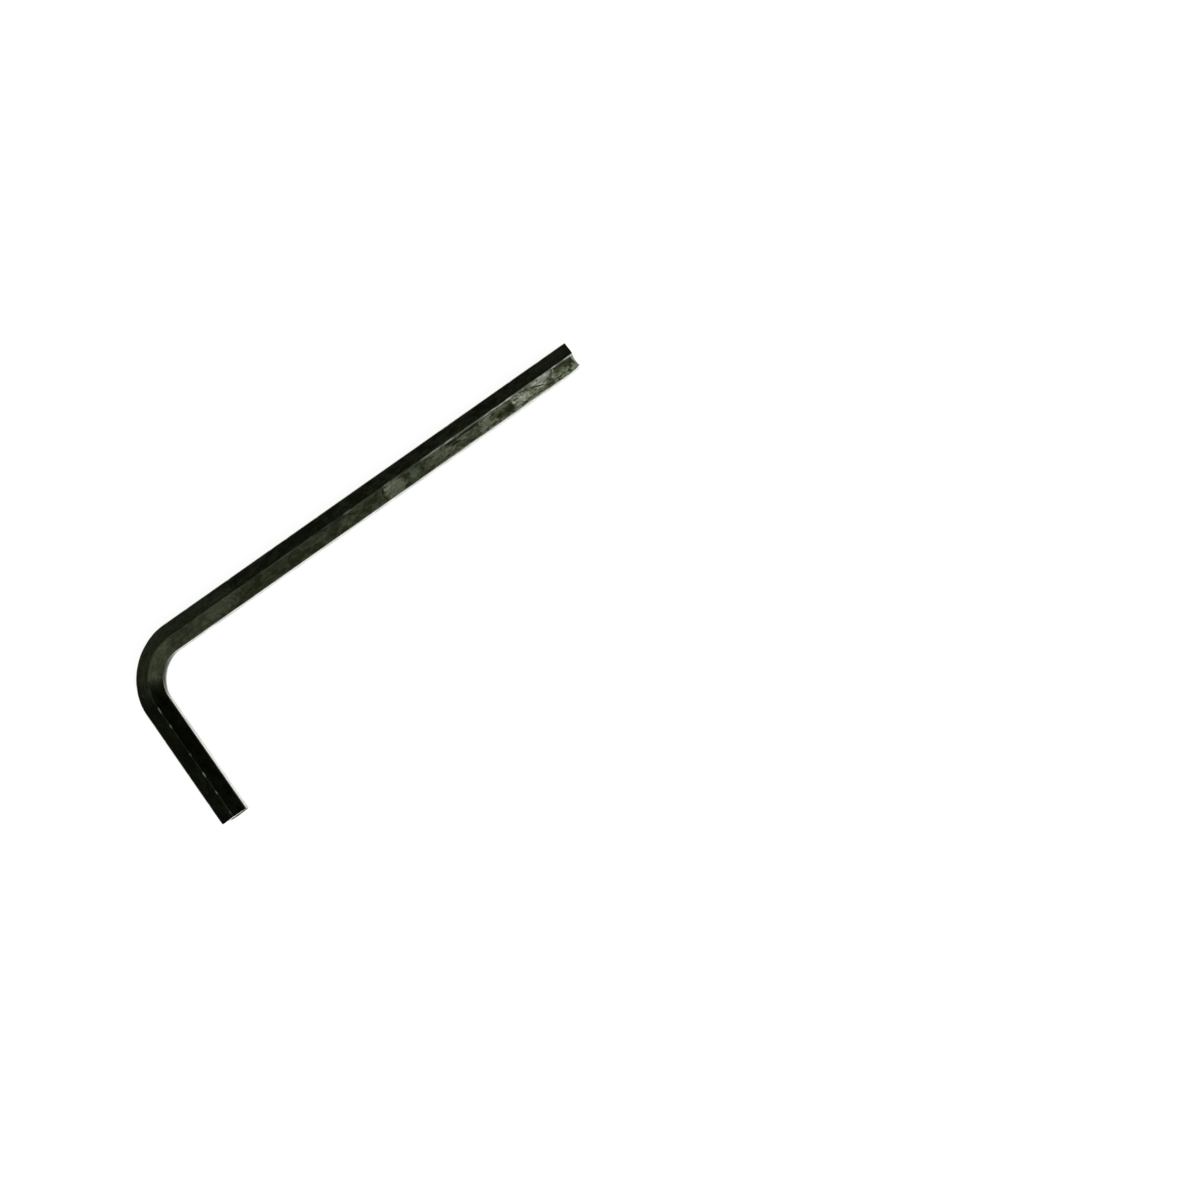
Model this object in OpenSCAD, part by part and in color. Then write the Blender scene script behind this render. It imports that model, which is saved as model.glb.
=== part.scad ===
// Hex key for socket-head screws. It is one length of drawn hexagonal bar, cropped square at both
// ends and bent cold to a right angle, with a flat of the bar on the inside of the bend.
// It is drawn as it lies on a table: the corners of the bar point up and down, and it rests
// on the lower ridge of each arm. The origin is on the table, under the middle of the key.
// The long arm points along +X and the short arm along -Y. Millimetres.

/* [Bar] */
// Distance across the flats, which is the size of socket that the key fits
across_flats = 4; // [1.5:0.5:10]
// How far the drawing die takes each corner of the hexagon back towards the axis
corner_break = 0.06; // [0.02:0.01:0.08]

/* [Arms] */
// Long arm, from the outside of the short arm to its end face
long_arm = 76.5; // [50:0.5:150]
// Short arm, from the outside of the long arm to its end face
short_arm = 27.3; // [25:0.1:60]

/* [Bend] */
// Radius inside the bend, left by the former that the bar was bent round
inside_radius = 5.35; // [3:0.05:10]
// How far the squeezed flat on the inside swells out at the middle of the bend
inside_swell = 0.25; // [0.1:0.05:0.4]
// How far the stretched flat on the outside is drawn in at the middle of the bend
outside_draw = 0.3; // [0.1:0.05:0.4]

/* [Cropped ends] */
// Corner of the long arm that the blade meets first, in degrees from its outer flat towards the top
long_blade_corner = 150; // [30:60:330]
// Length of bar at the end of the long arm that rolls over on the flat before that corner
long_first_roll_length = 0.6; // [0.5:0.05:3]
// Depth of that roll at the end face
long_first_roll_depth = 0.4; // [0.1:0.05:0.45]
// Length of bar at the end of the long arm that rolls over on the flat after that corner
long_second_roll_length = 2; // [0.5:0.05:3]
// Depth of that roll at the end face
long_second_roll_depth = 0.35; // [0.1:0.05:0.45]
// Corner of the short arm that the blade meets first, which a straight crop puts across from the other
short_blade_corner = 330; // [30:60:330]
// Length of bar at the end of the short arm that rolls over on the two flats beside that corner
short_roll_length = 0.5; // [0.5:0.05:3]
// Depth of those rolls at the end face
short_roll_depth = 0.15; // [0.1:0.05:0.45]

/* [Hidden] */
$fn = 180;

// Sharp hexagon, and the size over the broken corners
sharp_corners = across_flats / cos(30);
across_corners = sharp_corners - 2 * corner_break;
flat_width = sharp_corners / 2;
half_bar = across_flats / 2;
half_side = 360 / 12;
// A round corner between two square sides is this share of its radius short of the sharp corner
corner_share = sqrt(2) - 1;
// Small step by which the swell and the draw stop short of touching the flats in a tangent
run_out = 0.02;
// Radius of the bar's axis in the bend. The bar turns tighter than the former by what the inside swells.
axis_radius = inside_radius + half_bar - (inside_swell + run_out) / corner_share;
// Radius of the outside of the bend
outside_radius = axis_radius + half_bar + (outside_draw + run_out) / corner_share;
// Centres of the two, measured along both arms from the crossing of their axes
inside_centre = inside_radius + half_bar - run_out;
outside_centre = outside_radius - half_bar - run_out;
// Roundness of the swell, which takes up this share of the flat and leaves its edges plain
swell_share = 0.9;
swell_width = swell_share * flat_width;
swell_radius = (swell_width * swell_width / 4 + inside_swell * inside_swell) / (2 * inside_swell);
// Straight lengths of bar that are left on each side of the bend
long_straight = long_arm - half_bar - axis_radius;
short_straight = short_arm - half_bar - axis_radius;
// Length and depth of each roll
long_first_roll = [long_first_roll_length, long_first_roll_depth];
long_second_roll = [long_second_roll_length, long_second_roll_depth];
short_roll = [short_roll_length, short_roll_depth];
// How far a cutter reaches past the metal
cutter_margin = 1;
cutter_height = sharp_corners + 2 * cutter_margin;
// Place of the crossing of the two arms' axes, with the key's box centred on the origin
corner_x = (across_flats - long_arm) / 2;
corner_y = (short_arm - across_flats) / 2;
ridge_height = across_corners / 2;

// Section of the bar, with a flat on each side and a corner at the top and the bottom
module bar_section() {
    intersection() {
        rotate(90) circle(d = sharp_corners, $fn = 6);
        circle(d = across_corners);
    }
}

// Outline of the metal that a roll takes from a flat, with the end face at x = 0. It lies outside an
// arc that leaves the flat smoothly, has dropped by the depth at the end face, and runs on past it.
module roll_outline(roll_length, roll_depth) {
    roll_radius = (roll_length * roll_length + roll_depth * roll_depth) / (2 * roll_depth);
    translate([-roll_length, -roll_radius]) difference() {
        square(roll_radius + cutter_margin);
        circle(r = roll_radius);
    }
}

// Straight arm along +X from the origin, with its outer flat towards +Y, cropped at its far end.
// The blade rolls over the two flats beside the corner that it meets first, each of which faces
// half a side of the hexagon away from that corner. Each roll is given as its length and depth.
module arm(length, blade_corner, first_roll, second_roll) {
    difference() {
        rotate([90, 0, 90]) linear_extrude(length) bar_section();
        rolled_metal(length, blade_corner - half_side, first_roll);
        rolled_metal(length, blade_corner + half_side, second_roll);
    }
}

// Metal that a roll takes from the flat that faces one direction, at the end of an arm
module rolled_metal(length, direction, roll) {
    rotate([direction, 0, 0])
        translate([length, half_bar, 0])
            linear_extrude(cutter_height, center = true) roll_outline(roll[0], roll[1]);
}

// Quarter turn about a centre that lies as far along both arms, from the long arm to the short arm
module quarter_turn(centre) {
    translate([centre, -centre, 0]) rotate(90) rotate_extrude(angle = 90) children();
}

// Swell of the inside flat, squeezed out round the former
module swell() {
    quarter_turn(inside_centre) intersection() {
        translate([inside_radius + swell_radius, 0]) circle(r = swell_radius);
        translate([inside_radius, -flat_width / 2]) square([half_bar, flat_width]);
    }
}

// Metal that is drawn in from the outside: all that lies outside the stretched arc
module outside_cutter() {
    linear_extrude(cutter_height, center = true) difference() {
        translate([-half_bar - cutter_margin, -outside_centre])
            square(outside_centre + half_bar + cutter_margin);
        translate([outside_centre, -outside_centre]) circle(r = outside_radius);
    }
}

module hex_key() {
    color([0.12, 0.13, 0.12])
        translate([corner_x, corner_y, ridge_height])
            difference() {
                union() {
                    translate([axis_radius, 0, 0])
                        arm(long_straight, long_blade_corner, long_first_roll, long_second_roll);
                    quarter_turn(axis_radius) translate([axis_radius, 0]) bar_section();
                    translate([0, -axis_radius, 0]) mirror([1, 0, 0]) rotate(-90)
                        arm(short_straight, short_blade_corner, short_roll, short_roll);
                    swell();
                }
                outside_cutter();
            }
}

hex_key();
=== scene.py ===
# %% [markdown]
# A hex key
#
# This lesson dresses a hex key that has already been modelled as an exact solid. A hex key is one
# length of drawn hexagonal bar, cropped at both ends, bent cold to a right angle and blackened.
# There is nothing to assemble, so all the work is in the surface: how the bend squeezes and
# stretches the bar, what cropping does to its ends, and how a thin black oxide looks when it is
# oiled, rubbed and worn.

# %% Load the solid, and note its box
import math
import bpy
import numpy as np
from mathutils import Matrix, Vector


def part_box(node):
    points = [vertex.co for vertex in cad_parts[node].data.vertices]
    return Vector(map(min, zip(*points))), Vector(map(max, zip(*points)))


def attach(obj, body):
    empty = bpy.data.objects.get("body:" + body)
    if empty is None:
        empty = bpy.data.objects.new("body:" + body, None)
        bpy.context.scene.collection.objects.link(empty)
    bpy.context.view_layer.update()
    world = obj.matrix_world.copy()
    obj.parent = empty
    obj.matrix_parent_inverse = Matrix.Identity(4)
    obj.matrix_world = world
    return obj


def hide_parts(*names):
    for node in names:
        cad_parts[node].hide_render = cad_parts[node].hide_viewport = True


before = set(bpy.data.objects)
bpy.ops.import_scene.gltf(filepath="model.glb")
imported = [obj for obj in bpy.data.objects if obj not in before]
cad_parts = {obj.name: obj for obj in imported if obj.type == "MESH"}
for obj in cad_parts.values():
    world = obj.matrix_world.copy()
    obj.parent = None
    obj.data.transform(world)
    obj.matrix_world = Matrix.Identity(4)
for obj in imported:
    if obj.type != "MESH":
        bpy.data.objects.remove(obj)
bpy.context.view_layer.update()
MM = 0.001
lowest, highest = (np.array(corner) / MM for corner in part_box("hex_key"))
print("solid from", lowest.round(3), "to", highest.round(3), "mm")

# %% [markdown]
# The camera
#
# The key was photographed from almost straight above with a fairly long lens, so its two arms
# hardly shrink with distance. The camera could be placed by eye, but here it is written as a
# photographer would describe it: the point on the table that it is aimed at, how far away and how
# high it stands, and how far it is turned about its own axis. The frame is square.

# %% Camera
AIM = Vector((21.81, -18.09, 0.0)) * MM
DISTANCE = 332.8 * MM
ELEVATION = math.radians(86.662)
AZIMUTH = math.radians(-109.917)
TURN = math.radians(-15.325)
# Focal length and width of the picture behind the lens, in millimetres
LENS = 72.0
SENSOR = 36.0


def look_from(aim, distance, elevation, azimuth, turn=0.0):
    """Placing matrix of a thing that looks at aim along its own -Z, from a distance and direction.

    Its X axis is level, and then it is turned about its line of sight.
    """
    level = math.cos(elevation)
    back = Vector((level * math.cos(azimuth), level * math.sin(azimuth), math.sin(elevation)))
    right = Vector((0, 0, 1)).cross(back).normalized()
    axes = Matrix((right, back.cross(right), back)).transposed().to_4x4()
    return Matrix.Translation(aim + distance * back) @ axes @ Matrix.Rotation(turn, 4, "Z")


camera_data = bpy.data.cameras.new("camera")
camera_data.lens = LENS
camera_data.sensor_width = SENSOR
camera_data.clip_start = 0.01
camera = bpy.data.objects.new("camera", camera_data)
camera.matrix_world = look_from(AIM, DISTANCE, ELEVATION, AZIMUTH, TURN)
bpy.context.scene.collection.objects.link(camera)
bpy.context.scene.camera = camera
print("camera at", [round(c / MM, 1) for c in camera.matrix_world.translation], "mm")

# %% [markdown]
# The path of the bar
#
# Everything on a bent bar is easiest to say in two steps: where a point was while the bar was
# straight, and where bending took it. The path below gives, for each distance along the bar from
# the tip of the long arm, the place of the bar's axis and the direction that points to the outside
# of the bend. One angle covers all three stretches in one formula: it stays at zero along the long
# arm, grows through the bend and stays at a right angle along the short arm.

# %% Sizes of the bar, in millimetres
across_flats = 4.0
inside_radius = 5.35
inside_swell = 0.25
outside_draw = 0.3
# Small step by which the swell and the draw stop short of touching the flats in a tangent
run_out = 0.02
# Share of a flat's width that swells out on the inside of the bend
swell_share = 0.9
half_bar = across_flats / 2
flat_width = across_flats / math.sqrt(3)
long_arm, short_arm, across_corners = highest - lowest
# A round corner between two square sides is this share of its radius short of the sharp corner
corner_share = math.sqrt(2) - 1
axis_radius = inside_radius + half_bar - (inside_swell + run_out) / corner_share
outside_radius = axis_radius + half_bar + (outside_draw + run_out) / corner_share
# Centres of the arcs on the inside and the outside of the bend
inside_hub = (inside_radius + half_bar - run_out) * np.array([1.0, -1.0])
outside_hub = (outside_radius - half_bar - run_out) * np.array([1.0, -1.0])
long_straight = long_arm - half_bar - axis_radius
short_straight = short_arm - half_bar - axis_radius
bend_length = axis_radius * math.pi / 2
bar_length = long_straight + bend_length + short_straight
# Where the axes of the two arms cross
crossing = np.array([lowest[0] + half_bar, highest[1] - half_bar, (lowest[2] + highest[2]) / 2])
print(f"bar {bar_length:.2f} mm long, its axis bent to {axis_radius:.2f} mm")


# %% Path of the axis
def bar_path(along):
    """Axis points and outward directions, in the plane of the key, seen from the crossing.

    The angle is the distance past the long arm over the radius, held between nought and a quarter
    turn. The point is the bend's centre, plus the radius outwards, plus what is left of each arm.
    """
    angle = np.clip((along - long_straight) / axis_radius, 0, math.pi / 2)
    outward = np.stack([-np.sin(angle), np.cos(angle)], axis=-1)
    before = np.maximum(long_straight - along, 0)
    after = np.maximum(along - long_straight - bend_length, 0)
    centre = axis_radius * (np.array([1.0, -1.0]) + outward)
    return centre + np.stack([before, -after], axis=-1), outward


def reach(along, hub, radius):
    """How far outwards from the axis a circle round the hub lies: the larger root of a quadratic.

    The arc only counts between the two arms. Beside it there is none, which gives nan.
    """
    centre, outward = bar_path(along)
    offset = centre - hub
    along_ray = (offset * outward).sum(axis=-1)
    square = along_ray**2 - (offset**2).sum(axis=-1) + radius**2
    beside_bend = (centre[..., 0] < hub[0]) & (centre[..., 1] > hub[1])
    return np.where(beside_bend, np.sqrt(np.maximum(square, 0)) - along_ray, np.nan)


middle_of_bend = long_straight + bend_length / 2
reach_in = -float(reach(middle_of_bend, inside_hub, inside_radius))
reach_out = float(reach(middle_of_bend, outside_hub, outside_radius))
print(f"half way round the bend it reaches {reach_in:.2f} mm inwards and {reach_out:.2f} mm outwards")

# %% [markdown]
# The section
#
# A drawn hexagon never has knife edges: the die takes each corner back, so it ends in a narrow
# rounded land. A bent or cropped hexagon isn't a true hexagon any more either. The section could be
# edited by hand, ring by ring, but it is simpler to say it as a rule. It is the inside of six lines
# and one circle, and in each direction the smallest of the seven distances counts. A soft minimum
# rounds the joints a little. Cropping and bending only move one of the lines, so the same rule
# makes the rolled ends and the drawn outside of the bend.

# %% Sizes of the cropped ends and the edges, in millimetres and degrees
# Corner that the blade meets first at each end
long_blade_corner, short_blade_corner = 150.0, 330.0
# The flats that roll over, by the way they face, with the length and the depth of each roll
long_rolls = {120: (0.6, 0.4), 180: (2.0, 0.35)}
short_rolls = {300: (0.5, 0.15), 0: (0.5, 0.15)}
# How much deeper a flat rolls over at its middle than at its sides
roll_hollow = 0.35
# How far the corners between flats and lands are rounded
edge_softness = 0.004
# Angle from the middle of a flat to its corners
half_side = 30
# A line that is seen more slantingly than this bounds nothing, so it counts as far away
least_slant = 0.2
far_away = 10.0
print("flats that roll over, with length and depth:", {**long_rolls, **short_rolls})


# %% Steps, angles and arcs
def smooth_step(value, start, stop):
    """Nought before start, one after stop, and 3t² - 2t³ between them."""
    share = np.clip((value - start) / (stop - start), 0, 1)
    return share * share * (3 - 2 * share)


def turned_from(direction, corner):
    """Angle in degrees between directions in the section, given in radians, and one in degrees."""
    return np.abs((np.degrees(direction) - corner + 180) % 360 - 180)


def roll_drop(to_end, length, depth):
    """Fall of a rolled flat at a distance from the end face: a circular arc, tangent to the flat."""
    radius = (length**2 + depth**2) / (2 * depth)
    return radius - np.sqrt(radius**2 - np.clip(length - to_end, 0, length) ** 2)


# %% Rule of the section
def section_radius(along, direction):
    """Distance from the axis to the surface, for arrays of places along the bar and directions.

    Direction 0 is the outside of the bend, and a quarter turn is up. Each flat is a line at its own
    distance over the cosine of the angle to it, and the land is a circle. The soft minimum is minus
    k times the logarithm of the sum of exp(-distance / k).
    """
    drawn_in = np.fmin(reach(along, outside_hub, outside_radius), half_bar)
    distances = [np.full_like(direction, across_corners / 2)]
    for side in range(0, 360, 60):
        from_middle = turned_from(direction, side) / half_side
        hollow = (1 + roll_hollow * np.clip(1 - from_middle**2, 0, 1)) / (1 + roll_hollow)
        distance = drawn_in if side == 0 else half_bar
        if side in long_rolls:
            distance = distance - roll_drop(along, *long_rolls[side]) * hollow
        if side in short_rolls:
            distance = distance - roll_drop(bar_length - along, *short_rolls[side]) * hollow
        slant = np.cos(direction - math.radians(side))
        on_line = distance / np.maximum(slant, least_slant)
        distances.append(np.where(slant > least_slant, on_line, far_away))
    least = np.min(distances, axis=0)
    total = np.exp(-(np.array(distances) - least) / edge_softness).sum(axis=0)
    return least - edge_softness * np.log(total)


def inside_bulge(along, height):
    """Swell of the inside flat: an arc across the flat, raised by what the squeezed circle stands out."""
    width = swell_share * flat_width
    radius = (width**2 / 4 + inside_swell**2) / (2 * inside_swell)
    raised = np.nan_to_num(-reach(along, inside_hub, inside_radius) - half_bar, nan=-1.0)
    arc = np.sqrt(np.maximum(radius**2 - height**2, 0)) - radius
    return np.maximum(raised + arc, 0)


upper_flat_and_corner = np.radians([2 * half_side, 3 * half_side])
reached = section_radius(np.full(2, long_straight / 2), upper_flat_and_corner)
print("from the axis to a flat and to a corner:", reached.round(3), "mm")

# %% [markdown]
# Small accidents of the surface
#
# Real flats are never quite flat. The die leaves them slightly wavy, the former wrinkles the inside
# of the bend, and a key that lies loose in a drawer picks up nicks along its corners. They could be
# painted as bump, but then the outline would stay perfect, so they are made in the mesh. They are
# random, but from seeds, so they are the same at each run.

# %% Seeded noise
def lattice_noise(x, y, cell, seed):
    """Smooth random heights between -1 and 1 over two coordinates, in cells of one size.

    Each corner of a square grid has a random height, and a point takes the heights of its four
    corners, blended by 3t² - 2t³ each way. The grid repeats after 256 cells.
    """
    heights = np.random.default_rng(seed).uniform(-1, 1, (256, 256))
    column, row = np.floor(x / cell).astype(int), np.floor(y / cell).astype(int)
    u, v = smooth_step(x / cell - column, 0, 1), smooth_step(y / cell - row, 0, 1)
    a, b = column % 256, (column + 1) % 256
    c, d = row % 256, (row + 1) % 256
    return (heights[a, c] * (1 - u) + heights[b, c] * u) * (1 - v) + (
        heights[a, d] * (1 - u) + heights[b, d] * u
    ) * v


# %% Nicks
nick_count = 110
# The deepest nick in millimetres, and how many degrees of the corner a nick spans
nick_depth = 0.07
nick_width = 3.4
nick_lengths = (0.12, 0.45)
# How far from both tips the nicks stay
nick_margin = 1.5
# A higher power leaves more of the nicks shallow
nick_power = 2.5


def nicks(along, direction):
    """Depth of the nicks on the corners: a sum of bell curves, along the bar and across the corner."""
    chance = np.random.default_rng(11)
    place = chance.uniform(nick_margin, bar_length - nick_margin, nick_count)
    corner = 2 * half_side * chance.integers(0, 6, nick_count) + half_side
    depth = nick_depth * chance.uniform(0.15, 1, nick_count) ** nick_power
    length = chance.uniform(*nick_lengths, nick_count)
    sunk = np.zeros_like(along)
    for i in range(nick_count):
        across = turned_from(direction, corner[i]) / nick_width
        sunk += depth[i] * np.exp(-(((along - place[i]) / length[i]) ** 2) - across**2)
    return sunk


print(nick_count, "nicks, at most", nick_depth, "mm deep")

# %% Waves and wrinkles
wave_depth, wave_cell = 0.012, 3.1
wrinkle_depth, wrinkle_cell = 0.016, 0.42


def waves(along, out, up):
    """Depth of the die's waves everywhere, and of the wrinkles on the squeezed inside of the bend.

    The waves read a slanting place in the section, so that no two flats are alike. The wrinkles
    are stretched across the flat, and as strong as the flat is swollen at its middle.
    """
    wave = lattice_noise(along, 1.7 * up + 0.8 * out, wave_cell, 3)
    wrinkle = lattice_noise(along, 0.3 * up, wrinkle_cell, 4)
    squeezed = np.clip(inside_bulge(along, 0 * along) / inside_swell, 0, 1) * (out < 0)
    return wave_depth * (1 + wave) / 2 + wrinkle_depth * squeezed * (1 + wrinkle) / 2


print("waves", wave_depth, "mm deep and wrinkles", wrinkle_depth, "mm")

# %% [markdown]
# The cropped ends
#
# A cropping blade doesn't cut bar as a saw does. It rolls the metal over where it enters, shears a
# short smooth band, and then the rest breaks away and leaves a duller, grainy face. The end faces
# carry that relief: a flat band on the blade's side and a rough, slightly sunken field beyond it.
# Where the blade leaves, it drags up a thin burr, which stands along the lower edges of the short
# end. The long tip is the one that goes into screws, so the edge that rolled over is also knocked
# back a little, most at the middle of its flat.

# %% Relief of the end faces
# How far towards the blade's corner the band starts, how soft its edge is and how ragged
band_edge, band_fade = 0.75, 0.3
band_ragged, band_cell = 0.16, 0.5
# How deep the rest is sunken and grained, and the sizes of the coarse and the fine grain
break_depth, grain_depth = 0.07, 0.035
grain_cell, fine_grain_cell = 0.3, 0.14
# How wide the burr is, and how softly it ends
lip_width, lip_fade = 0.45, 0.12
# How deep and how long the knocked edge is, and how many degrees it reaches from its middle
dent_depth, dent_length, dent_spread = 0.11, 1.2, 32
# Moves each noise along, so that no line of its grid lies on the axis of the bar
grid_shift = 20


def end_relief(out, up, blade_corner, seed):
    """Depth below the end face in the section, and how broken it is: nought in the blade's band.

    The blade comes from its corner, so the band ends at a distance measured towards that corner.
    """
    corner = math.radians(blade_corner)
    towards = out * math.cos(corner) + up * math.sin(corner)
    across = up * math.cos(corner) - out * math.sin(corner)
    ragged = band_ragged * lattice_noise(across + 2 * grid_shift, 0 * across, band_cell, seed)
    broken = smooth_step(towards + ragged, band_edge, band_edge - band_fade)
    coarse = lattice_noise(out + grid_shift, up + grid_shift, grain_cell, seed + 1)
    fine = lattice_noise(out, up, fine_grain_cell, seed + 2)
    return broken * (break_depth + grain_depth * (coarse + 0.6 * fine)), broken


def lip(out, up):
    """Share of the sinking that the burr leaves: nought at the two lower edges, one further in."""
    slant = math.radians(half_side)
    to_edge = half_bar - (np.abs(out) * math.sin(slant) - up * math.cos(slant))
    return smooth_step(to_edge, lip_width - lip_fade, lip_width + lip_fade)


def dent(along, direction):
    """How far the rolled edge of the long tip is set back, most at the middle of its upper flat.

    It falls off with the square of the angle from that middle, and evenly along the bar.
    """
    from_middle = turned_from(direction, long_blade_corner - half_side)
    middle = np.clip(1 - (from_middle / dent_spread) ** 2, 0, 1)
    return dent_depth * middle * np.clip(1 - along / dent_length, 0, 1)


print("long tip knocked back by", dent_depth, "mm")

# %% [markdown]
# One skin
#
# The whole key is one grid, from the middle of one end face, out to its edge, along the bar, round
# the other edge and in to the middle of the other face. Each ring has a place along the bar and a
# share of the full section, which is what makes the end faces. Rings stand closer where the ends
# roll over, and points stand closer at the corners, because those are the places that turn fast.

# %% Rings and points
# Between rings along the bar, between the close rings at its ends, and the rounding of the end edges
ring_gap, roll_gap, edge_radius = 0.16, 0.05, 0.035
# The stretch at each end that has the close rings
close_length = 0.8
face_rings = 24
# Places of the points on half a flat, in degrees from its middle, mirrored for the other half
sector = np.array([0, 3.5, 7, 10.5, 14, 17.5, 20.5, 23.2, 25.4, 26.8, 27.5, 28.7])
sector = np.concatenate([-sector[:0:-1], sector, [half_side]])
direction = np.radians((np.arange(0, 360, 2 * half_side)[:, None] + sector).ravel())
quarter = np.linspace(0, math.pi / 2, 4)
edge_place = edge_radius * (1 - np.cos(quarter))
edge_inset = edge_radius * (1 - np.sin(quarter))
close_rings = np.arange(edge_radius, close_length + roll_gap, roll_gap)[1:]
middle_start = close_rings[-1] + ring_gap
middle_stop = bar_length - middle_start
middle_rings = np.linspace(middle_start, middle_stop, round((middle_stop - middle_start) / ring_gap))
from_end = np.concatenate([edge_place, close_rings])
side_rings = np.concatenate([from_end, middle_rings, bar_length - from_end[::-1]])
face_share = np.linspace(0, 1, face_rings + 2)[1:-1]
faces_only = np.ones_like(face_share)
ring_along = np.concatenate([0 * face_share, side_rings, bar_length * faces_only])
ring_share = np.concatenate([face_share, np.ones_like(side_rings), face_share[::-1]])
plain = np.zeros(len(side_rings) - 2 * len(edge_inset))
ring_inset = np.concatenate(
    [edge_radius * faces_only, edge_inset, plain, edge_inset[::-1], edge_radius * faces_only]
)
print(len(ring_along), "rings of", len(direction), "points")

# %% Surface of the bar while it is straight
# The relief of an end face fades out from this share of the section to its edge
relief_stop = 0.93
along, around = np.meshgrid(ring_along, direction, indexing="ij")
share = np.broadcast_to(ring_share[:, None], along.shape)
on_face = share < 1
radius = section_radius(along, around) - ring_inset[:, None]
out, up = radius * np.cos(around), radius * np.sin(around)
radius = radius - np.where(on_face, 0, nicks(along, around) + waves(along, out, up))
out, up = share * radius * np.cos(around), share * radius * np.sin(around)
out = out - np.where(out < 0, inside_bulge(along, up), 0)
on_long_face = on_face & (along < bar_length / 2)
long_sunk, long_broken = end_relief(out, up, long_blade_corner, 21)
short_sunk, short_broken = end_relief(out, up, short_blade_corner, 31)
short_sunk = short_sunk * lip(out, up)
from_rim = smooth_step(share, 1, relief_stop)
sunk = np.where(on_long_face, long_sunk, short_sunk) * from_rim * on_face
broken = np.where(on_long_face, long_broken, short_broken) * from_rim * on_face
from_tip = np.where(along < bar_length / 2, along, bar_length)
# The knocked edge fades out quickly towards the middle of the face, by the fourth power
along = along + np.where(on_long_face, sunk, -sunk) + dent(from_tip, around) * share**4
print(f"the end faces sink by up to {sunk.max():.3f} mm")


# %% Bending it, and closing the ends
def placed(along, out, up):
    """Places in millimetres after bending: the axis point, out along its outward direction, and up."""
    centre, outward = bar_path(along)
    level = centre + out[..., None] * outward
    return np.concatenate([level, up[..., None]], axis=-1) + crossing


rings, points = along.shape
face_middles = [[sunk[0].mean(), 0, 0], [bar_length - sunk[-1].mean(), 0, 0]]
unbent = np.concatenate([np.stack([along, out, up], axis=-1).reshape(-1, 3), face_middles])
places = placed(*unbent.T)
here = np.arange(rings * points).reshape(rings, points)
beside = np.roll(here, -1, axis=1)
quads = np.stack([here[:-1], here[1:], beside[1:], beside[:-1]], axis=-1).reshape(-1, 4)
long_fan = np.stack([np.full(points, rings * points), here[0], beside[0]], axis=-1)
short_fan = np.stack([np.full(points, rings * points + 1), beside[-1], here[-1]], axis=-1)
mesh = bpy.data.meshes.new("hex_key_skin")
faces = quads.tolist() + long_fan.tolist() + short_fan.tolist()
mesh.from_pydata((places * MM).tolist(), [], faces)
mesh.shade_smooth()
skin = bpy.data.objects.new("hex_key_skin", mesh)
bpy.context.scene.collection.objects.link(skin)
print(len(places), "places and", len(faces), "faces")

# %% Measure the skin against the solid
triangles = np.concatenate([quads[:, [0, 1, 2]], quads[:, [0, 2, 3]], long_fan, short_fan])
a, b, c = (places[triangles[:, k]] for k in range(3))
volume = (a * np.cross(b, c)).sum() / 6
print(f"{len(triangles)} triangles, volume {volume:.1f} mm3")
print("skin from", places.min(axis=0).round(3), "to", places.max(axis=0).round(3), "mm")

# %% [markdown]
# What the surface remembers
#
# The finish follows the bar, not the room: draw lines run along it and round the bend, and wear
# sits on its corners. So each point keeps five things as attributes: where it was while the bar
# was straight, how much wear its corner shows, whether it is on the rubbed rim of the long tip, how
# rough its end face broke, and how much painted shade darkens that face low down, for the dark
# contact shadow that it mirrors. The textures could be laid on by unwrapping the key instead, but
# the straight bar is a place in space, so a pattern read from it has no seam.

# %% Where the corners and the rim are
# Wear on the top corner lies a little towards the inside of the bend, and fades over these degrees
top_wear = 91.5
wear_fade = (1.6, 3.4)
# How much of that wear the other five corners show
side_wear = 0.15
# The rim is this wide at the blade's corner, and wider by as much as the second value at the top
rim_width, rim_growth, rim_fade = 0.25, 0.2, 0.08
top_corner = 1 - smooth_step(turned_from(around, top_wear), *wear_fade)
other_corners = np.min([turned_from(around, corner) for corner in (30, 150, 210, 270, 330)], axis=0)
corner_mask = np.maximum(top_corner, side_wear * (1 - smooth_step(other_corners, *wear_fade)))
to_top = np.clip((long_blade_corner - np.degrees(around)) / (2 * half_side), 0, 1)
rim_edge = rim_width + rim_growth * to_top
on_roll = 1 - smooth_step(turned_from(around, long_blade_corner), 56, 2 * half_side)
rim_mask = on_roll * (1 - smooth_step(from_tip, rim_edge, rim_edge + rim_fade)) * ~on_face
print("points on the top corner:", np.count_nonzero(top_corner))
print("points on the rubbed rim:", np.count_nonzero(rim_mask))


# %% Attributes
def remember(name, kind, values, middle_value):
    """Stores one value a point, and the two given values at the middles of the end faces."""
    store = mesh.attributes.new(name, kind, "POINT")
    field = "vector" if kind == "FLOAT_VECTOR" else "value"
    full = np.concatenate([values.reshape(rings * points, -1), np.atleast_2d(middle_value)])
    store.data.foreach_set(field, full.astype(np.float32).ravel())


remember("unbent", "FLOAT_VECTOR", unbent[:-2], unbent[-2:])
remember("corner", "FLOAT", corner_mask, [[0.0], [0.0]])
remember("rim", "FLOAT", rim_mask, [[0.0], [0.0]])
remember("broken", "FLOAT", broken, [[1.0], [1.0]])
# Painted shade on the lower, inner part of the short end's face, for the contact shadow it mirrors
on_short_face = on_face & ~on_long_face
painted_shade = smooth_step(up, 0.1, -0.5) * smooth_step(out, 1.3, 0.5) * on_short_face
remember("painted_shade", "FLOAT", painted_shade, [[0.0], [0.5]])
stored = ("unbent", "corner", "rim", "broken", "painted_shade")
print("attributes:", [a.name for a in mesh.attributes if a.name in stored])

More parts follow.
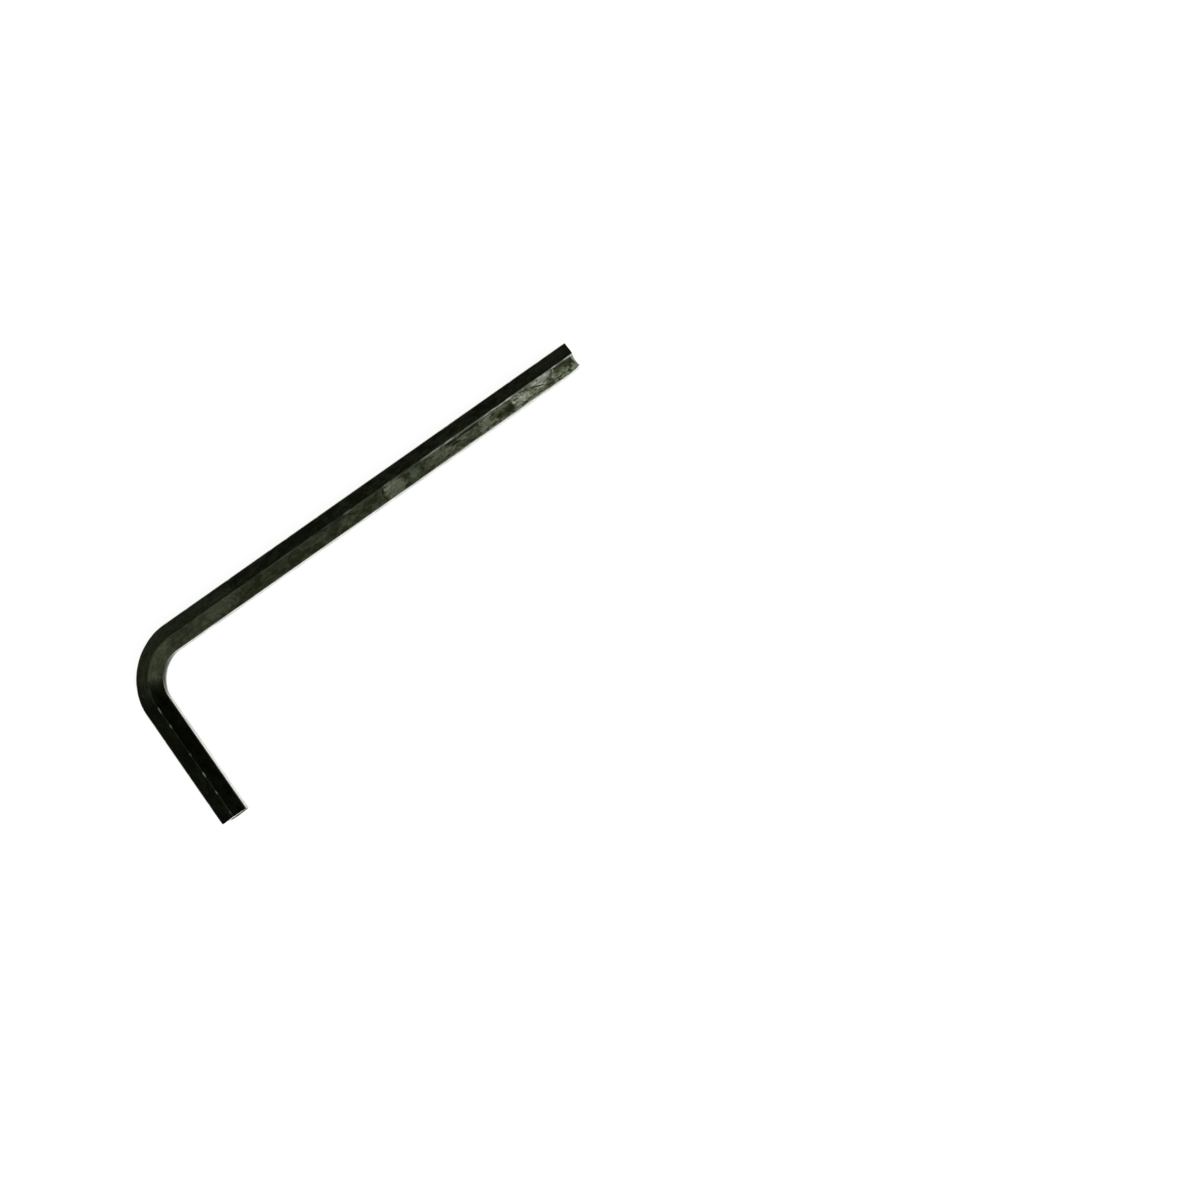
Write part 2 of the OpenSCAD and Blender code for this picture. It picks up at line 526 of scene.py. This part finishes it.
# %% [markdown]
# Building materials from nodes
#
# A material is a small network. Written out node by node it is long and hard to read, so a few
# helpers add a node, plug in numbers or other nodes' outputs by the name of the input, and hand
# back an output to go on with.

# %% Helpers for nodes
def add(tree, kind, plugs=None, **settings):
    """Adds a node, sets its own settings, and fills its inputs from plugs by name or number."""
    made = tree.nodes.new("ShaderNode" + kind)
    for name, value in settings.items():
        setattr(made, name, value)
    for name, source in (plugs or {}).items():
        if isinstance(source, bpy.types.NodeSocket):
            tree.links.new(source, made.inputs[name])
        else:
            made.inputs[name].default_value = source
    return made


def maths(tree, operation, first, second=0.0):
    """One sum of two numbers or outputs."""
    return add(tree, "Math", {0: first, 1: second}, operation=operation).outputs[0]


def product(tree, first, *others):
    """All the numbers or outputs multiplied."""
    for other in others:
        first = maths(tree, "MULTIPLY", first, other)
    return first


def mixed(tree, share, under, over):
    """Colour over laid on colour under, by a share from nought to one."""
    plugs = {0: share, 6: under, 7: over}
    return add(tree, "Mix", plugs, data_type="RGBA").outputs[2]


def between(tree, value, start, stop, low=0.0, high=1.0):
    """A smooth step from low, before start, to high, after stop."""
    plugs = {"Value": value, "From Min": start, "From Max": stop, "To Min": low, "To Max": high}
    return add(tree, "MapRange", plugs, interpolation_type="SMOOTHSTEP").outputs[0]


def new_group(name, inputs, outputs):
    """An empty node group with its inputs and outputs. An input is (name, kind, starting value)."""
    group = bpy.data.node_groups.new(name, "ShaderNodeTree")
    for label, kind, start in inputs:
        socket = group.interface.new_socket(label, in_out="INPUT", socket_type="NodeSocket" + kind)
        socket.default_value = start
    for label, kind in outputs:
        group.interface.new_socket(label, in_out="OUTPUT", socket_type="NodeSocket" + kind)
    return group, group.nodes.new("NodeGroupInput").outputs, group.nodes.new("NodeGroupOutput").inputs


def use(tree, group, **plugs):
    """Places a group in a tree and fills its inputs; an underscore stands for a space."""
    made = add(tree, "Group", node_tree=group)
    for name, source in plugs.items():
        socket = made.inputs[name.replace("_", " ")]
        if isinstance(source, bpy.types.NodeSocket):
            tree.links.new(source, socket)
        else:
            socket.default_value = source
    return made.outputs


# %% [markdown]
# Two groups for an uneven surface
#
# Blotches is noise on the straight bar, which can be stretched along it, and turned into a mask:
# with a large size it gives the clouds of an uneven oxide, and thin and stretched it gives draw
# lines. Mark is a single patch at a chosen place, turned, softened and frayed as wanted, for what
# can't be left to chance. As groups they are built once, and both finishes can use them.

# %% Group: blotches
blotches, given, result = new_group(
    "blotches",
    [
        ("Vector", "Vector", (0, 0, 0)),
        ("Size", "Float", 1.0),
        ("Stretch", "Float", 1.0),
        ("Detail", "Float", 3.0),
        ("From", "Float", 0.45),
        ("To", "Float", 0.6),
    ],
    [("Mask", "Float")],
)
shrink = maths(blotches, "DIVIDE", 1.0, given["Stretch"])
squash = add(blotches, "CombineXYZ", {0: shrink, 1: 1.0, 2: 1.0}).outputs[0]
stretched = add(blotches, "VectorMath", {0: given["Vector"], 1: squash}, operation="MULTIPLY").outputs[0]
scale = maths(blotches, "DIVIDE", 1.0, given["Size"])
noise = add(blotches, "TexNoise", {"Vector": stretched, "Scale": scale, "Detail": given["Detail"]})
mask = between(blotches, noise.outputs[0], given["From"], given["To"])
blotches.links.new(mask, result["Mask"])
print("blotches:", len(blotches.nodes), "nodes")

# %% Group: mark
mark, given, result = new_group(
    "mark",
    [
        ("Vector", "Vector", (0, 0, 0)),
        ("Place", "Vector", (0, 0, 0)),
        ("Size", "Vector", (1, 1, 1)),
        ("Turn", "Float", 0.0),
        ("Unevenness", "Float", 0.0),
        ("Ragged", "Float", 1.0),
        ("Soft", "Float", 0.3),
    ],
    [("Mask", "Float")],
)
offset = add(mark, "VectorMath", {0: given["Vector"], 1: given["Place"]}, operation="SUBTRACT").outputs[0]
plugs = {"Vector": offset, "Angle": given["Turn"]}
turned = add(mark, "VectorRotate", plugs, rotation_type="Z_AXIS", invert=True).outputs[0]
scaled = add(mark, "VectorMath", {0: turned, 1: given["Size"]}, operation="DIVIDE").outputs[0]
distance = add(mark, "VectorMath", {0: scaled}, operation="LENGTH").outputs["Value"]
uneven = maths(mark, "ADD", distance, product(mark, given["Unevenness"], given["Ragged"]))
inner = maths(mark, "SUBTRACT", 1.0, given["Soft"])
mask = between(mark, uneven, 1.0, inner)
mark.links.new(mask, result["Mask"])
print("mark:", len(mark.nodes), "nodes")

# %% [markdown]
# Black oxide
#
# Blackening turns the skin of the steel into a magnetite film about a thousandth of a millimetre
# thick and seals it with oil. It isn't paint: it stays a dark metal with a satin gloss, and it is
# patchy, greener and paler where it is thin or rubbed. So this material is a metal with a very dark
# reflection, and layers change that colour, as on the real key: clouds of thinner oxide, a fine
# mottling, a rubbed stretch towards the working end, single pale marks and dark oily ones, fine draw
# lines and specks, and bright steel where the top corner is worn through. Two layers are painted
# light instead: one dark patch on the outer slope is painted shade for the shadow and reflection of
# a key lying beside it, and the short glints of bright steel on the top corner are partly wear and
# partly painted highlights.

# %% Colours of the finish
# The reflection of the metal seen straight on, from the oiled black film to bare steel
OXIDE = (0.0144, 0.0176, 0.0084, 1)
OXIDE_THIN = (0.046, 0.054, 0.031, 1)
RUBBED = (0.178, 0.194, 0.136, 1)
PALE = (0.430, 0.450, 0.365, 1)
OLIVE = (0.150, 0.190, 0.120, 1)
TEAL = (0.090, 0.118, 0.084, 1)
OIL = (0.0080, 0.0098, 0.0050, 1)
STEEL = (0.54, 0.53, 0.49, 1)
CROPPED = (0.30, 0.295, 0.28, 1)
CROPPED_BROKEN = (0.21, 0.205, 0.19, 1)

# %% Where the marks are
# Each row is a place along the straight bar and outwards from its axis, half the length and half the
# width, in millimetres, a turn in degrees, raggedness, softness, strength and colour. They are all on
# the upper side, and most are on the flat that looks into the bend, where outwards is negative. The
# first row pales the bend and the bar before it.
marks = [
    (67.0, 0.00, 12.0, 2.80, 0, 0.5, 0.3, 1.0, OXIDE_THIN),
    (60.0, -1.00, 5.0, 1.30, 0, 1.5, 0.9, 0.12, RUBBED),
    (3.4, 1.00, 5.4, 1.30, 0, 1.5, 0.8, 0.8, OXIDE_THIN),
    (6.9, -0.95, 4.4, 1.20, 0, 1.2, 0.9, 0.5, RUBBED),
    (4.9, -0.35, 1.6, 0.45, 0, 1.5, 0.6, 0.6, PALE),
    (6.3, -0.75, 1.3, 0.75, 12, 1.6, 0.6, 0.6, PALE),
    (9.1, -0.95, 1.5, 0.80, 0, 1.8, 0.7, 0.5, PALE),
    (10.5, -0.90, 0.3, 0.30, 0, 1.0, 0.5, 0.5, PALE),
    (2.5, -1.15, 1.1, 0.50, 0, 1.8, 0.7, 0.6, OLIVE),
    (0.8, -1.10, 0.2, 0.28, 0, 0.8, 0.5, 0.7, OLIVE),
    (7.4, -1.05, 0.4, 0.60, -20, 1.4, 0.7, 0.7, OLIVE),
    (12.0, -0.45, 1.5, 0.35, 0, 1.8, 0.8, 0.5, OLIVE),
    (15.4, -1.05, 1.5, 0.80, 0, 1.6, 0.6, 0.5, RUBBED),
    (23.0, -1.00, 3.6, 1.20, 0, 1.8, 0.9, 0.25, RUBBED),
    (27.3, -1.00, 1.1, 1.10, 0, 1.6, 0.8, 0.55, TEAL),
    (30.5, -1.00, 2.0, 1.40, 0, 0.9, 0.4, 0.45, RUBBED),
    (31.4, -0.55, 0.9, 0.45, 0, 1.4, 0.7, 0.5, OLIVE),
    (38.8, -1.10, 1.5, 0.70, 0, 1.8, 0.8, 0.15, RUBBED),
    (42.6, -1.00, 1.3, 0.70, 0, 1.4, 0.8, 0.2, TEAL),
    (1.1, -1.00, 0.16, 0.60, 10, 0.8, 0.6, 0.85, OIL),
    (1.6, -1.56, 0.35, 0.16, 0, 1.2, 0.6, 0.9, OIL),
    (1.8, -0.75, 0.25, 0.22, 0, 1.4, 0.6, 0.7, OIL),
    (3.1, -1.56, 0.45, 0.18, 0, 1.4, 0.6, 0.9, OIL),
    (4.5, -1.20, 0.60, 0.32, 25, 1.8, 0.7, 0.85, OIL),
    (5.0, -1.56, 0.55, 0.16, 0, 1.6, 0.6, 0.8, OIL),
    (6.6, -1.68, 0.7, 0.18, 0, 1.8, 0.6, 0.85, OIL),
    (6.6, -0.87, 1.3, 0.13, 17, 0.8, 0.4, 0.95, OIL),
    (8.3, -0.40, 0.6, 0.16, 0, 1.8, 0.6, 0.8, OIL),
    (9.2, -1.72, 1.0, 0.16, 0, 2.0, 0.6, 0.8, OIL),
    (11.3, -1.35, 0.95, 0.70, 0, 1.6, 0.6, 0.95, OIL),
    (13.0, -1.25, 0.6, 0.70, 30, 1.9, 0.7, 0.85, OIL),
    (14.2, -1.65, 0.7, 0.22, 0, 1.8, 0.6, 0.8, OIL),
    (17.9, -0.36, 1.7, 0.22, 0, 1.4, 0.4, 1.0, OIL),
    (20.7, -0.40, 1.4, 0.19, 0, 1.2, 0.4, 1.0, OIL),
    (20.3, -0.80, 1.0, 0.16, 0, 1.2, 0.4, 0.95, OIL),
    (22.0, -1.60, 0.9, 0.14, 0, 1.8, 0.6, 0.7, OIL),
    (24.6, -1.55, 0.6, 0.18, 0, 1.6, 0.6, 0.8, OIL),
    (29.0, -0.25, 0.9, 0.13, 0, 1.2, 0.6, 0.8, OIL),
    (32.45, -1.45, 0.55, 0.14, 64, 1.6, 0.4, 1.0, OIL),
    (32.35, -0.65, 0.55, 0.14, -54, 1.6, 0.4, 1.0, OIL),
    (33.4, -1.00, 0.9, 1.10, 0, 1.6, 0.8, 0.5, OIL),
    (35.0, -0.80, 1.9, 0.70, 0, 1.8, 0.8, 0.6, OIL),
    (37.6, -0.60, 0.9, 0.22, 22, 1.4, 0.6, 0.8, OIL),
    (41.0, -1.50, 0.7, 0.20, 0, 1.8, 0.6, 0.6, OIL),
    (46.5, -1.20, 1.6, 0.60, 0, 1.8, 0.9, 0.6, OIL),
    (53.5, -1.00, 0.9, 0.50, 0, 1.8, 0.9, 0.5, OIL),
    (68.2, -1.10, 1.0, 0.60, 0, 1.8, 0.8, 0.5, OIL),
    (14.4, 1.10, 2.6, 1.10, 0, 1.8, 0.9, 0.65, OIL),
    (20.6, 1.50, 1.2, 0.40, 0, 1.8, 0.8, 0.5, OIL),
    (29.6, 0.90, 0.9, 0.35, 20, 1.8, 0.8, 0.5, OIL),
    (39.0, 1.50, 1.0, 0.40, 0, 1.8, 0.8, 0.5, OIL),
    # Painted shade: this dark patch on the outer slope stands for the shadow and dark reflection of
    # another key lying beside it
    (44.9, 1.00, 4.4, 1.30, 0, 1.4, 0.8, 0.75, OIL),
]
# Painted highlights and wear: short stretches of the top corner painted as bright steel where it
# catches the light. Each row is a place, half the length and strength
glints = [
    (1.1, 0.8, 0.4),
    (31.4, 0.9, 0.2),
    (37.9, 0.9, 0.14),
    (79.2, 0.6, 0.30),
    (81.9, 0.4, 0.25),
    (86.6, 0.3, 0.14),
    (89.9, 0.5, 0.40),
    (92.9, 0.4, 0.25),
    (96.2, 0.3, 0.12),
]
print(len(marks), "marks and", len(glints), "glints")

# %% Material: blackened steel, and how patchy it is
blackened = bpy.data.materials.new("blackened_steel")
blackened.use_nodes = True
tree = blackened.node_tree
shader = tree.nodes["Principled BSDF"]
unbent_place = add(tree, "Attribute", attribute_name="unbent").outputs["Vector"]
corner_place = add(tree, "Attribute", attribute_name="corner").outputs["Fac"]
rim_place = add(tree, "Attribute", attribute_name="rim").outputs["Fac"]
along_bar, outwards = add(tree, "SeparateXYZ", {0: unbent_place}).outputs[:2]


def patchy(size, stretch, detail, start, stop):
    """Blotches on the straight bar: their size in mm, their stretch along it, and what sets the mask."""
    plugs = {"Size": size, "Stretch": stretch, "Detail": detail, "From": start, "To": stop}
    return use(tree, blotches, Vector=unbent_place, **plugs)["Mask"]


# From the clouds of the blackening bath down to specks that are only just seen
clouds = patchy(5.0, 2.2, 5.0, 0.42, 0.62)
patches = patchy(1.4, 1.6, 8.0, 0.44, 0.58)
flecks = patchy(0.35, 1.8, 5.0, 0.38, 0.62)
scuffs = patchy(0.13, 5.0, 4.0, 0.56, 0.66)
lines = patchy(0.10, 60.0, 2.0, 0.36, 0.64)
specks = patchy(0.16, 1.3, 3.0, 0.35, 0.68)
mottles = patchy(0.8, 1.5, 6.0, 0.40, 0.60)

# %% The oxide, thinner and rubbed towards the working end
# How much each layer covers of what is under it. Places along the bar are millimetres from the long tip.
cloud_cover, dark_mottling, pale_mottling = 0.6, 0.8, 0.34
short_side = between(tree, along_bar, 64.0, 74.0, 1.0, 0.25)
colour = mixed(tree, product(tree, clouds, cloud_cover, short_side), OXIDE, OXIDE_THIN)
colour = mixed(tree, product(tree, mottles, dark_mottling), colour, OIL)
unmottled = maths(tree, "SUBTRACT", 1.0, mottles)
colour = mixed(tree, product(tree, unmottled, pale_mottling, short_side), colour, OXIDE_THIN)
worked = between(tree, along_bar, 31.0, 2.0, 0.05, 0.95)
inner_side = between(tree, outwards, 0.2, -0.1, 0.1, 1.0)
uneven = product(tree, between(tree, patches, -0.2, 1.0), between(tree, flecks, -0.6, 1.0))
colour = mixed(tree, product(tree, worked, inner_side, uneven), colour, RUBBED)

# %% The marks, one after the other
unevenness = add(tree, "TexNoise", {"Vector": unbent_place, "Scale": 2.6, "Detail": 6.0}).outputs[0]
unevenness = maths(tree, "SUBTRACT", unevenness, 0.5)
# Height of the marks' centres over the axis, and how far up and down they reach
UPPER_SIDE, UPPER_REACH = 1.7, 2.2
for place, out_from_axis, length, width, turn, ragged, soft, strength, paint in marks:
    patch = use(
        tree,
        mark,
        Vector=unbent_place,
        Place=(place, out_from_axis, UPPER_SIDE),
        Size=(length, width, UPPER_REACH),
        Turn=math.radians(turn),
        Unevenness=unevenness,
        Ragged=ragged,
        Soft=soft,
    )["Mask"]
    colour = mixed(tree, product(tree, patch, strength), colour, paint)

# %% Mottling of the bend, scuffs, and the fine lines and specks over everything
bend_mottling, film_cover = 0.35, 0.7
in_bend = between(tree, along_bar, 56.0, 62.0, 0.0, bend_mottling)
colour = mixed(tree, product(tree, mottles, in_bend), colour, OIL)
dulled = product(tree, scuffs, between(tree, along_bar, 50.0, 5.0, 0.3, 0.7))
colour = mixed(tree, dulled, colour, OXIDE)
streaks = product(tree, between(tree, lines, -0.7, 0.9), between(tree, flecks, -0.8, 0.9))
bare = product(tree, streaks, between(tree, specks, -1.2, 1.0))
colour = mixed(tree, product(tree, maths(tree, "SUBTRACT", 1.0, bare), film_cover), colour, OIL)

# %% Bare steel on the top corner and the rim, and painted glints
most_wear, rim_wear = 0.9, 0.35
# How far a glint reaches across the corner and down from it
glint_reach = 0.4
chips = patchy(0.5, 5.0, 4.0, 0.42, 0.6)
corner_wear = between(tree, along_bar, 33.0, 12.0, 0.0, 0.85)
corner_wear = maths(tree, "ADD", corner_wear, between(tree, along_bar, 72.0, 62.0, 0.01, 0.06))
glinting = 0.0
# Painted highlights: each glint paints bright steel on a short stretch of the top corner, on top of its
# wear
for place, length, strength in glints:
    patch = use(
        tree,
        mark,
        Vector=unbent_place,
        Place=(place, 0, across_corners / 2),
        Size=(length, glint_reach, glint_reach),
        Unevenness=unevenness,
        Ragged=1.6,
        Soft=0.7,
    )["Mask"]
    glinting = maths(tree, "MAXIMUM", product(tree, patch, strength), glinting)
wear_and_glints = maths(tree, "ADD", product(tree, corner_wear, between(tree, chips, -0.5, 1.0)), glinting)
worn_and_glinting = product(tree, maths(tree, "MINIMUM", wear_and_glints, most_wear), corner_place)
worn_and_glinting = maths(tree, "MAXIMUM", worn_and_glinting, product(tree, rim_place, rim_wear))
colour = mixed(tree, worn_and_glinting, colour, STEEL)
tree.links.new(colour, shader.inputs["Base Color"])

# %% Gloss and fine relief of the blackened steel
roughness = add(tree, "Mix", {0: patches, 2: 0.22, 3: 0.30}, data_type="FLOAT").outputs[0]
tree.links.new(roughness, shader.inputs["Roughness"])
shader.inputs["Metallic"].default_value = 1.0
height = maths(tree, "ADD", product(tree, lines, 0.6), product(tree, specks, 0.4))
relief = 0.02 * MM
bump = add(tree, "Bump", {"Strength": 0.2, "Distance": relief, "Height": height})
tree.links.new(bump.outputs["Normal"], shader.inputs["Normal"])
print("blackened steel:", len(tree.nodes), "nodes")

# %% Material: sheared steel
sheared = bpy.data.materials.new("sheared_steel")
sheared.use_nodes = True
tree = sheared.node_tree
shader = tree.nodes["Principled BSDF"]
unbent_place = add(tree, "Attribute", attribute_name="unbent").outputs["Vector"]
broken_place = add(tree, "Attribute", attribute_name="broken").outputs["Fac"]
painted_shade_place = add(tree, "Attribute", attribute_name="painted_shade").outputs["Fac"]
fine_grain = patchy(0.09, 1.0, 3.0, 0.35, 0.65)
tarnish = patchy(0.9, 1.0, 3.0, 0.4, 0.7)
colour = mixed(tree, broken_place, CROPPED, CROPPED_BROKEN)
colour = mixed(tree, product(tree, tarnish, 0.35), colour, OXIDE_THIN)
# Painted shade: the oil colour darkens the lower, inner part of the short end's face, for the dark
# contact shadow that this face mirrors
colour = mixed(tree, painted_shade_place, colour, OIL)
tree.links.new(colour, shader.inputs["Base Color"])
roughness = add(tree, "Mix", {0: broken_place, 2: 0.26, 3: 0.38}, data_type="FLOAT").outputs[0]
roughness = add(tree, "Mix", {0: painted_shade_place, 2: roughness, 3: 0.9}, data_type="FLOAT").outputs[0]
tree.links.new(roughness, shader.inputs["Roughness"])
shader.inputs["Metallic"].default_value = 1.0
height = product(tree, fine_grain, between(tree, broken_place, 0.0, 1.0, 0.15, 1.0))
bump = add(tree, "Bump", {"Strength": 0.3, "Distance": relief, "Height": height})
tree.links.new(bump.outputs["Normal"], shader.inputs["Normal"])
print("sheared steel:", len(tree.nodes), "nodes")

# %% Give each face its finish
mesh.materials.append(blackened)
mesh.materials.append(sheared)
ring_of_quad = np.repeat(np.arange(rings - 1), points)
on_end = (ring_of_quad < face_rings + 1) | (ring_of_quad >= rings - face_rings - 2)
finish = np.concatenate([on_end, np.ones(2 * points, bool)]).astype(np.int32)
mesh.polygons.foreach_set("material_index", finish)
mesh.update()
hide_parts("hex_key")
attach(skin, "root")
print("faces of bare end:", int(finish.sum()))

# %% [markdown]
# Table and light
#
# The key lies on a white table near a window. The table is white to the camera and in reflections,
# and it keeps the soft shadow. A dark metal shows hardly anything but its surroundings, so each
# lamp is there for the slope that mirrors it. The window stands beside the long arm and is what the
# slope on that side shows. The slopes that face the other way see only a pale back wall and stay
# almost black. A weak panel overhead greys the narrow top lands. Each is set by how bright it looks.

# %% Table
table_mesh = bpy.data.meshes.new("table")
# Half the side of the table, in metres, wide enough to reach past every view
table_half = 12.0
table_corners = [(x * table_half, y * table_half, 0) for x, y in ((-1, -1), (1, -1), (1, 1), (-1, 1))]
table_mesh.from_pydata(table_corners, [], [(0, 1, 2, 3)])
table = bpy.data.objects.new("table", table_mesh)
bpy.context.scene.collection.objects.link(table)
white = bpy.data.materials.new("white_table")
white.use_nodes = True
tree = white.node_tree
shader = tree.nodes["Principled BSDF"]
shader.inputs["Base Color"].default_value = (0.8, 0.8, 0.79, 1)
shader.inputs["Roughness"].default_value = 0.9
shader.inputs["Specular IOR Level"].default_value = 0.0
ray = add(tree, "LightPath").outputs
seen = maths(tree, "MAXIMUM", ray["Is Camera Ray"], ray["Is Transmission Ray"])
# The table's own glow where nothing looks at it, where the camera does, and where metal mirrors it
DARK, SEEN_GLOW, MIRRORED_GLOW = (0, 0, 0, 1), (0.80, 0.80, 0.80, 1), (1.9, 1.9, 1.86, 1)
glow = mixed(tree, seen, DARK, SEEN_GLOW)
glow = mixed(tree, ray["Is Glossy Ray"], glow, MIRRORED_GLOW)
tree.links.new(glow, shader.inputs["Emission Color"])
shader.inputs["Emission Strength"].default_value = 1.0
table_mesh.materials.append(white)
print("table", 2 * table_half, "m wide")


# %% Lamps and room
def panel(name, width, height, distance, elevation, azimuth, brightness):
    """A soft panel that faces the key, with its light set by how bright its face looks.

    The lamp's power is pi times its area times that brightness.
    """
    lamp = bpy.data.lights.new(name, "AREA")
    lamp.shape = "RECTANGLE"
    lamp.size, lamp.size_y = width, height
    lamp.energy = math.pi * width * height * brightness
    holder = bpy.data.objects.new(name, lamp)
    angles = math.radians(elevation), math.radians(azimuth)
    holder.matrix_world = look_from(Vector((0, 0, 0)), distance, *angles)
    bpy.context.scene.collection.objects.link(holder)
    print(name, f"{lamp.energy:.2f} W")


# Width, height and distance in metres, elevation and azimuth in degrees, and how bright it looks
panel("window", 1.05, 0.75, 0.9, 36.0, -66.0, 1.35)
panel("overhead_panel", 0.9, 0.9, 1.1, 88.0, 90.0, 0.6)
panel("back_wall", 2.0, 0.5, 1.0, 20.0, 128.0, 0.25)
world = bpy.data.worlds.new("dim_room")
bpy.context.scene.world = world
world.use_nodes = True
world.node_tree.nodes["Background"].inputs["Color"].default_value = (0.14, 0.143, 0.14, 1)
bpy.context.scene.view_settings.view_transform = "Standard"
